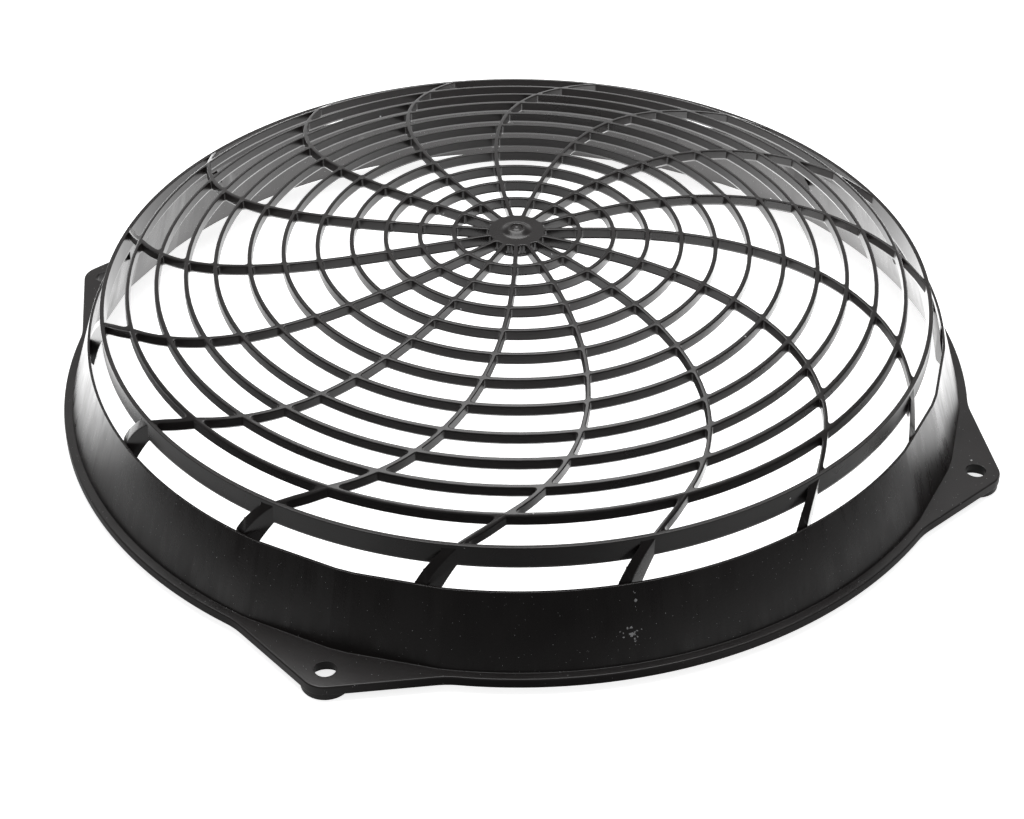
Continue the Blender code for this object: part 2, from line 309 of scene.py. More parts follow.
def seal():
    """Merge what meets, turn the faces outward and leave edit mode."""
    merge()
    bpy.ops.mesh.normals_make_consistent(inside=False)
    leave_edit()


def copy_round(copies):
    """Copy the mesh being edited round the axis, so that there are so many of it."""
    bpy.ops.mesh.select_all(action='SELECT')
    others = copies - 1
    bpy.ops.mesh.spin(steps=others, dupli=True, angle=math.tau * others / copies, center=(0, 0, 0),
                      axis=(0, 0, 1))


def outline_piece(name, points, fill='NOTHING'):
    """A new piece with one closed line through the points, open or filled."""
    deselect_all()
    bpy.ops.mesh.primitive_circle_add(vertices=len(points), radius=1, fill_type=fill)
    item = bpy.context.object
    item.name = name
    for vert, point in zip(item.data.vertices, points):
        vert.co = point
    return item


def join(items, name):
    make_active(items[0])
    for item in items:
        item.select_set(True)
    bpy.ops.object.join()
    whole = bpy.context.object
    whole.name = name
    whole.data.name = name
    return whole


def bevel_edges(item, test, width):
    edit(item)
    select_edges(item, test)
    bpy.ops.mesh.bevel(offset=width, offset_type='OFFSET', segments=EDGE_STEPS, profile=0.5,
                       affect='EDGES')
    leave_edit()


def polar(radius, heading, height=0.0):
    return Vector((radius * math.cos(heading), radius * math.sin(heading), height))


def radius_of(point):
    return math.hypot(point.x, point.y)


def heading_of(point):
    return math.atan2(point.y, point.x)


def toward(heading):
    return Vector((math.cos(heading), math.sin(heading)))


def arc(centre, radius, start, end, steps):
    return [centre + radius * toward(start + (end - start) * step / steps) for step in range(steps + 1)]


def quarter_round(radius):
    """The steps of a rounded edge, from its top: how far across and how far down each one lies."""
    turns = [math.pi / 2 * step / ROUND_STEPS for step in range(ROUND_STEPS + 1)]
    return [(radius * math.sin(turn), radius * (1 - math.cos(turn))) for turn in turns]


def rounded(corners, radius):
    """A closed outline of (radius, height) points with its corners rounded."""
    outline = []
    for index, corner in enumerate(corners):
        here = Vector(corner)
        before = (Vector(corners[index - 1]) - here).normalized()
        after = (Vector(corners[(index + 1) % len(corners)]) - here).normalized()
        opening = before.angle(after)
        reach = radius / math.tan(opening / 2)
        centre = here + (before + after).normalized() * radius / math.sin(opening / 2)
        start = here + before * reach - centre
        end = here + after * reach - centre
        turn = start.angle_signed(end)
        for step in range(ROUND_STEPS + 1):
            outline.append(centre + Matrix.Rotation(-turn * step / ROUND_STEPS, 2) @ start)
    return outline


def turned(name, outline, steps):
    """Spin a closed outline of (radius, height) points once round the axis."""
    item = outline_piece(name, [(radius, 0.0, height) for radius, height in outline])
    edit(item)
    bpy.ops.mesh.select_all(action='SELECT')
    bpy.ops.mesh.spin(steps=steps, angle=math.tau, center=(0, 0, 0), axis=(0, 0, 1))
    seal()
    return item


# Web of rings and spokes
def ring_radii(sizes):
    pitch = (sizes.shoulder - sizes.first_ring) / (sizes.inner_rings - 1)
    inner = [sizes.first_ring + pitch * index for index in range(sizes.inner_rings)]
    return inner + [sizes.shoulder + sizes.outer_pitch * (index + 1) for index in range(sizes.outer_rings)]


def dome_height(sizes, radius):
    """Height of the grille's top, with the extra fall between the last ring and the band."""
    apex = sizes.band_top + sizes.band_drop + sizes.dome_sag
    last = ring_radii(sizes)[-1]
    ramp = max(0.0, (radius - last) / (sizes.band - last))
    return apex - sizes.dome_sag * (radius / sizes.band) ** sizes.dome_power - sizes.band_drop * ramp


def rib_height(sizes, radius):
    along = min(1.0, radius / sizes.band)
    return sizes.rib_height_hub + (sizes.rib_height_band - sizes.rib_height_hub) * along


def spoke_plan(sizes, along):
    """Centre line of a spoke seen from above, from the hub at 0 to the band at 1."""
    start = Vector((sizes.hub, 0.0))
    end = sizes.band * toward(-sizes.spoke_sweep)
    first = start + Vector((sizes.spoke_root * sizes.band, 0.0))
    second = end + Vector((0.0, sizes.spoke_tip * sizes.band))
    rest = 1 - along
    return (rest ** 3 * start + 3 * rest ** 2 * along * first + 3 * rest * along ** 2 * second
            + along ** 3 * end)


def spoke_heading(sizes, radius):
    """Polar angle of the spoke's centre line where it crosses a radius."""
    if radius <= sizes.hub:
        return 0.0
    low = 0.0
    high = 1.0
    for _ in range(SEARCH_STEPS):
        middle = (low + high) / 2
        if spoke_plan(sizes, middle).length < radius:
            low = middle
        else:
            high = middle
    return heading_of(spoke_plan(sizes, low))


def crossing_tilt(sizes, radius):
    """Angle between a spoke and the radial direction where it crosses a radius."""
    step = sizes.rib_width
    inside = max(sizes.hub, radius - step)
    outside = min(sizes.band, radius + step)
    turn = spoke_heading(sizes, outside) - spoke_heading(sizes, inside)
    return math.atan2(abs(turn) * radius, outside - inside)


def corner_reach(sizes, radius):
    """Distance from a crossing to the end of its corner rounding, along the ring."""
    acute = math.pi / 2 - crossing_tilt(sizes, radius)
    reach = (sizes.rib_width / 2 + sizes.corner) / math.tan(acute / 2)
    cell = radius * math.tau / sizes.spokes
    return min(CORNER_SPARE * reach, cell * WIDEST_CORNER)


def web_lines(sizes):
    """Radii of the web's ring lines, from inside the hub's edge to inside the band's wall."""
    half = sizes.rib_width / 2
    return [sizes.hub - half] + ring_radii(sizes) + [sizes.band + WALL_OVERLAP]


def web_rows(sizes):
    """Radii of the grid's rows: each ring line, and the rows that bend the spokes between two."""
    lines = web_lines(sizes)
    rows = []
    for low, high in zip(lines, lines[1:]):
        low_margin = corner_reach(sizes, low) * math.cos(crossing_tilt(sizes, low))
        high_margin = corner_reach(sizes, high) * math.cos(crossing_tilt(sizes, high))
        start = low + low_margin
        end = high - high_margin
        inner = [start + (end - start) * step / (GAP_STEPS - 2) for step in range(GAP_STEPS - 1)]
        rows += [low] + inner
    return rows + [lines[-1]]


def column_share(sizes, radius, column):
    """Place of a grid column between two spokes, from 0 to 1, kept clear of the corners."""
    if column in (0, CELL_STEPS):
        return column / CELL_STEPS
    margin = corner_reach(sizes, radius) / (radius * math.tau / sizes.spokes)
    return margin + (1 - 2 * margin) * (column - 1) / (CELL_STEPS - 2)


def web_top(sizes, radius):
    top = dome_height(sizes, radius)
    if radius > sizes.band - sizes.rib_width / 2:
        return min(top, sizes.band_top - SURFACE_STEP)
    return top


def web_sector(sizes, name):
    """One sector between two spokes: a flat grid bent into shape, with one face for each opening."""
    rows = web_rows(sizes)
    last_row = len(rows) - 1
    deselect_all()
    bpy.ops.mesh.primitive_grid_add(x_subdivisions=CELL_STEPS, y_subdivisions=last_row, size=2)
    item = bpy.context.object
    item.name = name
    shape = edit(item)
    grid_row = shape.verts.layers.int.new("grid_row")
    grid_column = shape.verts.layers.int.new("grid_column")
    for vert in shape.verts:
        column = round((1 - vert.co.x) / 2 * CELL_STEPS)
        row = round((vert.co.y + 1) / 2 * last_row)
        vert[grid_row] = row
        vert[grid_column] = column
        radius = rows[row]
        heading = (sizes.first_spoke + spoke_heading(sizes, radius)
                   + column_share(sizes, radius, column) * math.tau / sizes.spokes)
        vert.co = polar(radius, heading)

    def is_inside_a_cell(line):
        one, other = line.verts
        along_ring = one[grid_row] == other[grid_row] and one[grid_row] % GAP_STEPS == 0
        along_spoke = one[grid_column] == other[grid_column] and one[grid_column] in (0, CELL_STEPS)
        return not (along_ring or along_spoke)

    select_edges(item, is_inside_a_cell)
    bpy.ops.mesh.dissolve_edges(use_verts=False, use_face_split=False)
    leave_edit()
    return item


def openings(shape):
    return [face for face in shape.faces if len(face.verts) > SMALLEST_OPENING]


def inset_openings(item, width, depth):
    select_only(item, 'FACE', openings)
    bpy.ops.mesh.inset(thickness=width, depth=depth, use_individual=True, use_even_offset=True,
                       use_relative_offset=False)


def opening_corners(shape):
    return [loop for face in openings(shape) for loop in face.loops]


def turning(loop):
    """How sharply a face's outline turns at one of its corners."""
    before = (loop.vert.co - loop.link_loop_prev.vert.co).normalized()
    after = (loop.link_loop_next.vert.co - loop.vert.co).normalized()
    return math.acos(max(-1.0, min(1.0, before.dot(after))))


def round_corners(item, radius):
    """Round the four corners of every opening to one radius, or less where there is no room."""
    kinds = set()
    shape = bmesh.from_edit_mesh(item.data)
    for loop in opening_corners(shape):
        turn = turning(loop)
        if turn > SHARP_TURN:
            room = min(loop.edge.calc_length(), loop.link_loop_prev.edge.calc_length())
            reach = min(radius * math.tan(turn / 2), CORNER_FILL * room)
            kinds.add((round(turn, 3), round(reach, 6)))
    for kind, reach in sorted(kinds):
        select_only(item, 'VERT', lambda shape: [loop.vert for loop in opening_corners(shape)
                                                 if abs(turning(loop) - kind) < SAME_TURN])
        bpy.ops.mesh.bevel(offset=reach, offset_type='OFFSET', segments=CORNER_STEPS, profile=0.5,
                           affect='VERTICES', clamp_overlap=False)


def web_shell(sizes, name, insets, drops):
    """One side of a sector: its openings are set in step by step, and each step has its own drop."""
    item = web_sector(sizes, name)
    edit(item)
    start = sizes.rib_top_width / 2 - sizes.rib_round
    inset_openings(item, start, 0.0)
    round_corners(item, sizes.corner + sizes.rib_width / 2 - start)
    for width in insets:
        inset_openings(item, width, -LEVEL_MARK)
    select_only(item, 'FACE', openings)
    bpy.ops.mesh.delete(type='ONLY_FACE')
    leave_edit()
    for vert in item.data.vertices:
        level = round(-vert.co.z / LEVEL_MARK)
        radius = radius_of(vert.co)
        vert.co.z = web_top(sizes, radius) - drops[level](radius)
    return item


def drop_to(sizes, rise):
    """Depth under the web's top of a line that lies so far above a rib's underside."""
    return lambda radius: rib_height(sizes, radius) - rise


def upper_shell(sizes):
    """The rounded top edges and the sides down to the parting line."""
    places, falls = zip(*quarter_round(sizes.rib_round))
    insets = [after - before for before, after in zip(places, places[1:])]
    insets.append((sizes.rib_width - sizes.rib_top_width) / 2)
    drops = [lambda radius, fall=fall: fall for fall in falls] + [drop_to(sizes, sizes.parting)]
    return web_shell(sizes, "web_upper", insets, drops)


def lower_shell(sizes):
    """The underside and the sides up to the parting line, facing down."""
    edge = sizes.rib_foot_width / 2
    chamfer = (edge - sizes.rib_top_width / 2 + sizes.rib_round) / 2
    insets = [chamfer, chamfer, sizes.rib_width / 2 - edge]
    drops = [drop_to(sizes, rise) for rise in (0.0, 0.0, chamfer, sizes.parting)]
    item = web_shell(sizes, "web_lower", insets, drops)
    edit(item)
    bpy.ops.mesh.select_all(action='SELECT')
    bpy.ops.mesh.flip_normals()
    leave_edit()
    return item


def select_open_edges(item, radii, low, high):
    """Select the open edges whose middles lie between two radii, and between a low and a high."""
    def is_open_there(line):
        middle = (line.verts[0].co + line.verts[1].co) / 2
        return line.is_boundary and radii[0] < radius_of(middle) < radii[1] and low < middle.z < high

    select_edges(item, is_open_there)


def draw_in(item, circles):
    """Extrude the selected edges through circles of the given (radius, height), then to a point."""
    for radius, height in circles:
        bpy.ops.mesh.extrude_edges_indiv()
        shape = bmesh.from_edit_mesh(item.data)
        moved = sorted((vert for vert in shape.verts if vert.select), key=lambda vert: heading_of(vert.co))
        first = heading_of(moved[0].co)
        for index, vert in enumerate(moved):
            vert.co = polar(radius, first + math.tau * index / len(moved), height)
        bmesh.update_edit_mesh(item.data)
    bpy.ops.mesh.merge(type='CENTER')


def crown_profile(sizes):
    """Radius and height of the circles over the hub's crown, down into the gate's pit."""
    top = dome_height(sizes, sizes.hub)
    crest = top + sizes.crown_height
    swell = []
    for step in range(CROWN_STEPS + 1):
        along = step / CROWN_STEPS
        radius = sizes.crown + (sizes.gate - sizes.crown) * along
        swell.append((radius, top + sizes.crown_height * (1 - math.cos(math.pi * along)) / 2))
    lip = sizes.gate * GATE_LIP
    return swell + [(sizes.gate * across, crest - lip * depth) for across, depth in GATE_RINGS]


def add_web(sizes):
    """The rings, spokes and hub as one closed mesh."""
    web = join([upper_shell(sizes), lower_shell(sizes)], "web")
    edit(web)
    merge()
    copy_round(sizes.spokes)
    merge()
    top = dome_height(sizes, sizes.hub)
    under = top - sizes.rib_height_hub / 2
    select_open_edges(web, (0, sizes.hub), under, top + under)
    draw_in(web, crown_profile(sizes))
    foot = top - sizes.hub_height
    step = sizes.rib_round
    radius = sizes.hub - step
    select_open_edges(web, (0, sizes.hub), 0, under)
    draw_in(web, [(radius, under), (radius, foot + step), (radius - step, foot), (radius / 2, foot)])
    select_open_edges(web, (sizes.band - sizes.rib_width, 2 * sizes.band), 0, top)
    bpy.ops.mesh.bridge_edge_loops()
    seal()
    mark_parting_line(web, sizes)
    return web


def mark_parting_line(item, sizes):
    def on_line(vert):
        radius = radius_of(vert.co)
        line = web_top(sizes, radius) - rib_height(sizes, radius) + sizes.parting
        return abs(vert.co.z - line) < MERGE and radius > sizes.hub - MERGE

    edit(item)
    select_edges(item, lambda line: all(map(on_line, line.verts)))
    bpy.ops.mesh.mark_sharp()
    leave_edit()


def add_band(sizes):
    """The tall outer ring, widest at its parting line."""
    half = sizes.rib_width / 2
    top_half = sizes.rib_top_width / 2
    foot_half = sizes.rib_foot_width / 2 + sizes.rib_round
    top = sizes.band_top
    bottom = top - sizes.band_height
    parting = bottom + sizes.parting
    corners = [(sizes.band - top_half, top), (sizes.band + top_half, top), (sizes.band + half, parting),
               (sizes.band + foot_half, bottom), (sizes.band - foot_half, bottom),
               (sizes.band - half, parting)]
    return turned("band", rounded(corners, sizes.band_round), CIRCLE_STEPS)


# Base
def flange_top(sizes):
    return sizes.foot_height + sizes.flange_thickness


def rim_height(sizes):
    return flange_top(sizes) + sizes.skirt_height


def skirt_lean(sizes):
    """How far the skirt leans in for each length of its height."""
    return (sizes.skirt_foot - sizes.skirt_top) / sizes.skirt_height


def screw_places(sizes, height=0.0):
    return [polar(sizes.screw_circle, sizes.first_lug + math.tau * index / sizes.lugs, height)
            for index in range(sizes.lugs)]


def at_screws(item, sizes):
    """Replace a piece made on the axis by a copy at each screw place."""
    copies = []
    for screw in screw_places(sizes):
        copy = item.copy()
        copy.data = item.data.copy()
        bpy.context.collection.objects.link(copy)
        copy.data.transform(Matrix.Translation(screw))
        copies.append(copy)
    bpy.data.objects.remove(item, do_unlink=True)
    return copies


def flange_outline(sizes, inset):
    """The flange circle with its lugs, moved inward by an inset."""
    tip = sizes.lug_tip - inset
    blend = sizes.lug_blend + inset
    flange = sizes.flange - inset
    side = sizes.screw_circle * math.cos(sizes.lug_side) + tip
    reach = math.acos((side + blend) / (flange + blend))
    blend_heading = sizes.lug_side - reach
    blend_centre = (flange + blend) * toward(blend_heading)
    mirrored = Vector((blend_centre.x, -blend_centre.y))
    lug = (arc(mirrored, blend, math.pi - blend_heading, math.pi - sizes.lug_side, LUG_BLEND_STEPS)
           + arc(Vector((sizes.screw_circle, 0)), tip, -sizes.lug_side, sizes.lug_side, LUG_TIP_STEPS)
           + arc(blend_centre, blend, math.pi + sizes.lug_side, math.pi + blend_heading,
                 LUG_BLEND_STEPS))
    span = math.tau / sizes.lugs
    circle = arc(Vector((0, 0)), flange, blend_heading, span - blend_heading, FLANGE_STEPS)[1:-1]
    points = []
    for index in range(sizes.lugs):
        turn = Matrix.Rotation(sizes.first_lug + span * index, 2)
        points += [turn @ point for point in lug + circle]
    return points


def skirt_circles(sizes):
    """Radius and height of the circles from the flange's top, over the rim and down the inside."""
    lean = skirt_lean(sizes)
    tilt = math.atan(lean)
    tangent = sizes.skirt_fillet * math.tan((math.pi / 2 - tilt) / 2)
    centre = Vector((sizes.skirt_foot + tangent, flange_top(sizes) + sizes.skirt_fillet))
    fillet = arc(centre, sizes.skirt_fillet, math.pi * 1.5, math.pi + tilt, FILLET_STEPS)
    inner_foot = (sizes.skirt_foot + lean * sizes.flange_thickness - sizes.skirt_wall, sizes.foot_height)
    rim = rim_height(sizes)
    walls = [(sizes.skirt_foot, flange_top(sizes)), inner_foot, (sizes.skirt_top - sizes.rim_wall, rim),
             (sizes.skirt_top, rim)]
    over_rim = rounded(walls, sizes.rim_round)[2 * (ROUND_STEPS + 1):]
    return [*fillet, *reversed(over_rim), inner_foot]


def base_loops(sizes):
    """Every loop of the base, from the skirt's inner foot out round the flange and up the skirt."""
    curve = sizes.flange_round
    rounds = quarter_round(curve)
    levels = [(curve - across, sizes.foot_height + rise) for across, rise in rounds]
    levels += [(curve - across, flange_top(sizes) - rise) for across, rise in reversed(rounds)]
    loops = [[(*point, height) for point in flange_outline(sizes, inset)] for inset, height in levels]
    outline = flange_outline(sizes, 0.0)
    loops += [[(*(radius * point.normalized()), height) for point in outline]
              for radius, height in skirt_circles(sizes)]
    return loops


def add_flange_and_skirt(sizes):
    loops = base_loops(sizes)
    item = outline_piece("base", loops[0])
    shape = edit(item)
    order = shape.verts.layers.int.new("order")
    for index, vert in enumerate(shape.verts):
        vert[order] = index
    bmesh.update_edit_mesh(item.data)
    bpy.ops.mesh.select_all(action='SELECT')
    for loop in loops[1:] + loops[:1]:
        bpy.ops.mesh.extrude_edges_indiv()
        shape = bmesh.from_edit_mesh(item.data)
        order = shape.verts.layers.int.get("order")
        for vert in shape.verts:
            if vert.select:
                vert.co = loop[vert[order]]
        bmesh.update_edit_mesh(item.data)
    seal()
    return item


def cut(item, cutter):
    make_active(item)
    modifier = item.modifiers.new("cut", 'BOOLEAN')
    modifier.operation = 'DIFFERENCE'
    modifier.solver = 'EXACT'
    modifier.object = cutter
    bpy.ops.object.modifier_apply(modifier=modifier.name)
    bpy.data.objects.remove(cutter, do_unlink=True)


def add_base(sizes):
    """The flange, its lugs with screw holes, the feet and the leaning skirt."""
    item = add_flange_and_skirt(sizes)
    top = flange_top(sizes)
    for radius, reach in ((sizes.screw_hole, 2 * top), (sizes.counterbore, top - sizes.bore_land)):
        deselect_all()
        bpy.ops.mesh.primitive_cylinder_add(vertices=HOLE_STEPS, radius=radius, depth=2 * reach)
        cut(item, join(at_screws(bpy.context.object, sizes), "drill"))
    screws = screw_places(sizes, top)

    def on_hole_edge(line):
        return all(min((vert.co - screw).length for screw in screws) < sizes.screw_hole + MERGE
                   for vert in line.verts)

    bevel_edges(item, on_hole_edge, sizes.rim_round / 2)
    seat = sizes.foot_height + SURFACE_STEP
    section = [(sizes.counterbore, seat), (sizes.foot, seat), (sizes.foot, 0.0), (sizes.counterbore, 0.0)]
    foot = turned("foot", rounded(section, sizes.rim_round / 2), HOLE_STEPS)
    return join([item] + at_screws(foot, sizes), "base")


# Fins
def tangent_centre(line, reach):
    """Place on a line along the fin that lies a given distance from the axis."""
    return Vector((line, -math.sqrt(reach ** 2 - line ** 2)))


def wall_line(base, height):
    """Radius of the middle of the skirt's wall at a height."""
    return base.skirt_top - base.rim_wall / 2 + skirt_lean(base) * (rim_height(base) - height)


def spoke_end(grille):
    """Distance of a fin's middle line from the axis, which it runs beside."""
    return grille.band * math.cos(grille.spoke_sweep)


def fin_plan(grille, base):
    """Outline of a fin seen from above, with the roundings where it leaves the band."""
    corner = grille.fin_corner
    left = spoke_end(grille) - grille.rib_width / 2
    right = spoke_end(grille) + grille.rib_width / 2
    wall = grille.band + grille.rib_width / 2 - SURFACE_STEP
    end = wall_line(base, base.fin_foot + FIN_FOOT_HEIGHT)
    blunt = tangent_centre(left - corner, wall + corner)
    sharp = tangent_centre(right + corner, wall + corner)
    return [blunt.normalized() * grille.band,
            *arc(blunt, corner, math.atan2(-blunt.y, -blunt.x), 0.0, FIN_BLUNT_STEPS),
            tangent_centre(left, end), tangent_centre(right, end),
            *arc(sharp, corner, math.pi, math.atan2(-sharp.y, -sharp.x), FIN_SHARP_STEPS),
            sharp.normalized() * grille.band]


def standing_plate(name, plan, heights):
    """Give a plan outline its top and bottom heights, which depend on the distance from the axis."""
    item = outline_piece(name, [(point.x, point.y, 0.0) for point in plan], 'NGON')
    edit(item)
    near = max(point.y for point in plan)
    far = min(point.y for point in plan)
    for step in range(1, FIN_STEPS):
        bpy.ops.mesh.select_all(action='SELECT')
        bpy.ops.mesh.bisect(plane_co=(0, far + (near - far) * step / FIN_STEPS, 0), plane_no=(0, 1, 0))
    bpy.ops.mesh.select_all(action='SELECT')
    bpy.ops.mesh.extrude_region_move(TRANSFORM_OT_translate={"value": (0, 0, -LEVEL_MARK)})
    shape = bmesh.from_edit_mesh(item.data)
    for vert in shape.verts:
        top, bottom = heights(radius_of(vert.co))
        vert.co.z = bottom if vert.co.z < -LEVEL_MARK / 2 else top
    bmesh.update_edit_mesh(item.data)
    seal()
    return item


def is_top_edge(line):
    normals = [face.normal for face in line.link_faces]
    upward = [normal.z > STEEP for normal in normals]
    level = [abs(normal.z) < FLAT_SIDE for normal in normals]
    return any(upward) and any(level)


def add_fins(grille, base):
    """The spokes' ends: blades that curve from the band over the rim and down inside the skirt."""
    rim = rim_height(base)
    end = base.skirt_top - base.rim_round
    top = grille.band_top - SURFACE_STEP
    bottom = grille.band_top - grille.band_height + SURFACE_STEP
    wall = grille.band + grille.rib_width / 2

    def heights(radius):
        along = max(0.0, min(1.0, (radius - grille.band) / (end - grille.band)))
        fall = 1 - (1 - along ** base.fin_bulge) ** (1 / base.fin_bulge)
        past = max(0.0, radius - wall)
        low = bottom - base.fin_slope * past - base.fin_curve * past ** 2
        inside = rim - (radius - wall_line(base, rim)) / skirt_lean(base)
        high = top + (rim - top) * fall if radius < end else inside
        return high, max(base.fin_foot, low)

    item = standing_plate("fins", fin_plan(grille, base), heights)
    for vert in item.data.vertices:
        drift = base.fin_skew * max(0.0, radius_of(vert.co) - grille.band)
        vert.co.x -= drift if vert.co.x < spoke_end(grille) else drift * base.fin_lag
    bevel_edges(item, is_top_edge, grille.rib_round)
    edit(item)
    copy_round(grille.spokes)
    leave_edit()
    item.data.transform(Matrix.Rotation(grille.first_spoke, 4, 'Z'))
    return item


# Finishes
def add_node(tree, kind, values=(), **settings):
    """Add a node, set its settings, and give its inputs a constant or another node's output."""
    node = tree.nodes.new(kind)
    for name, value in settings.items():
        setattr(node, name, value)
    for name, value in dict(values).items():
        if isinstance(value, bpy.types.NodeSocket):
            tree.links.new(value, node.inputs[name])
        else:
            node.inputs[name].default_value = value
    return node


def noise(tree, place, scale, detail=3.0, roughness=0.5):
    values = {"Vector": place, "Scale": scale, "Detail": detail, "Roughness": roughness}
    return add_node(tree, 'ShaderNodeTexNoise', values).outputs["Fac"]


def remap(tree, value, span, levels=(0.0, 1.0)):
    """Turn a value that runs over a span into one that runs between two levels."""
    values = {"Value": value, "From Min": span[0], "From Max": span[1], "To Min": levels[0],
              "To Max": levels[1]}
    return add_node(tree, 'ShaderNodeMapRange', values).outputs["Result"]


def calculate(tree, operation, *values):
    return add_node(tree, 'ShaderNodeMath', enumerate(values), operation=operation).outputs[0]


def mix(tree, share_of_second, first, second, kind='FLOAT'):
    values = {"Factor": share_of_second, "A": first, "B": second}
    return add_node(tree, 'ShaderNodeMix', values, data_type=kind).outputs["Result"]


def split_axes(tree, place):
    return add_node(tree, 'ShaderNodeSeparateXYZ', {"Vector": place}).outputs


def cells(tree, place, scale):
    """Scattered cells: the distance to the nearest one's middle, and that cell's random value."""
    spots = add_node(tree, 'ShaderNodeTexVoronoi', {"Vector": place, "Scale": scale}).outputs
    pick = add_node(tree, 'ShaderNodeSeparateColor', {"Color": spots["Color"]})
    return spots["Distance"], pick.outputs["Red"]


def effect_group(name, inputs, outputs):
    """A shader node group that takes a place and named inputs; an input with no value is a place."""
    tree = bpy.data.node_groups.new(name, 'ShaderNodeTree')
    for label, value in {"Place": None, **inputs}.items():
        kind = 'NodeSocketVector' if value is None else 'NodeSocketFloat'
        socket = tree.interface.new_socket(label, in_out='INPUT', socket_type=kind)
        if value is not None:
            socket.default_value = value
    for label in outputs:
        tree.interface.new_socket(label, in_out='OUTPUT', socket_type='NodeSocketFloat')
    given = tree.nodes.new('NodeGroupInput').outputs
    return tree, given, tree.nodes.new('NodeGroupOutput').inputs


def grain_group(name):
    """Fine moulded grain: a height that varies at two scales."""
    tree, given, out = effect_group(name, {"Scale": 900.0, "Coarse scale": 140.0, "Coarse height": 1.5},
                                    ["Height"])
    fine = noise(tree, given["Place"], given["Scale"], detail=2.0)
    coarse = noise(tree, given["Place"], given["Coarse scale"], detail=2.0)
    tree.links.new(calculate(tree, 'MULTIPLY_ADD', coarse, given["Coarse height"], fine), out["Height"])
    return tree


def mottling_group(name):
    """Slow changes of gloss and tone over the moulded surface."""
    tree, given, out = effect_group(name, {"Amount": 0.05, "Gloss scale": 22.0, "Tone scale": 60.0},
                                    ["Change", "Tone"])
    gloss = noise(tree, given["Place"], given["Gloss scale"], detail=4.0, roughness=0.6)
    change = remap(tree, gloss, NOISE_SPAN, EITHER_WAY)
    tree.links.new(calculate(tree, 'MULTIPLY', change, given["Amount"]), out["Change"])
    tree.links.new(remap(tree, noise(tree, given["Place"], given["Tone scale"]), NOISE_SPAN), out["Tone"])
    return tree


def dust_group(name):
    """Scattered round specks of dust, in a given share of the cells."""
    tree, given, out = effect_group(name, {"Scale": 330.0, "Size": 0.12, "Amount": 0.006}, ["Mask"])
    distance, chance = cells(tree, given["Place"], given["Scale"])
    near = calculate(tree, 'LESS_THAN', distance, given["Size"])
    kept = calculate(tree, 'LESS_THAN', chance, given["Amount"])
    tree.links.new(calculate(tree, 'MULTIPLY', near, kept), out["Mask"])
    return tree


def streak_group(name):
    """Faint streaks and blotches on the skirt, left where the part was drawn from its mould."""
    tree, given, out = effect_group(name, {"Scale": 90.0, "Blotch scale": 24.0, "Foot": 0.007},
                                    ["Streak", "Blotch"])
    axes = split_axes(tree, given["Place"])
    heading = calculate(tree, 'ARCTAN2', axes["Y"], axes["X"])
    upright = add_node(tree, 'ShaderNodeCombineXYZ', {"X": heading, "Y": axes["Z"]}).outputs["Vector"]
    wall = calculate(tree, 'GREATER_THAN', axes["Z"], given["Foot"])
    for label, scale, roughness in (("Streak", "Scale", 0.65), ("Blotch", "Blotch scale", 0.6)):
        marks = noise(tree, upright, given[scale], detail=4.0, roughness=roughness)
        level = remap(tree, marks, NOISE_SPAN, EITHER_WAY)
        tree.links.new(calculate(tree, 'MULTIPLY', level, wall), out[label])
    return tree


def chip_group(name):
    """A cluster of small chips round one place, smaller and fewer toward its edge."""
    tree, given, out = effect_group(name, {"Centre": None, "Radius": 0.005, "Scale": 800.0, "Size": 0.6,
                                           "Edge scale": 2500.0}, ["Mask"])
    gap = add_node(tree, 'ShaderNodeVectorMath', {0: given["Place"], 1: given["Centre"]},
                   operation='DISTANCE').outputs["Value"]
    out_from_middle = calculate(tree, 'DIVIDE', gap, given["Radius"])
    near = calculate(tree, 'MAXIMUM', calculate(tree, 'SUBTRACT', 1.0, out_from_middle), 0.0)
    distance, chance = cells(tree, given["Place"], given["Scale"])
    size = calculate(tree, 'MULTIPLY', calculate(tree, 'MULTIPLY', near, chance), given["Size"])
    ragged = remap(tree, noise(tree, given["Place"], given["Edge scale"], detail=2.0), NOISE_SPAN,
                   CHIP_RAGGED)
    edge = calculate(tree, 'ADD', distance, ragged)
    tree.links.new(calculate(tree, 'LESS_THAN', edge, size), out["Mask"])
    return tree


def effect(tree, name, build, place, values=()):
    """Put a shared effect in a material, building its group the first time."""
    group = bpy.data.node_groups.get(name) or build(name)
    return add_node(tree, 'ShaderNodeGroup', {"Place": place, **dict(values)}, node_tree=group).outputs


def empty_material(name):
    """A material with no shader yet, its node tree and the place on the object."""
    material = bpy.data.materials.get(name) or bpy.data.materials.new(name)
    material.use_nodes = True
    tree = material.node_tree
    tree.nodes.clear()
    return material, tree, tree.nodes.new('ShaderNodeTexCoord').outputs["Object"]


def add_shader(tree, values):
    shader = add_node(tree, 'ShaderNodeBsdfPrincipled', values)
    add_node(tree, 'ShaderNodeOutputMaterial', {"Surface": shader.outputs["BSDF"]})


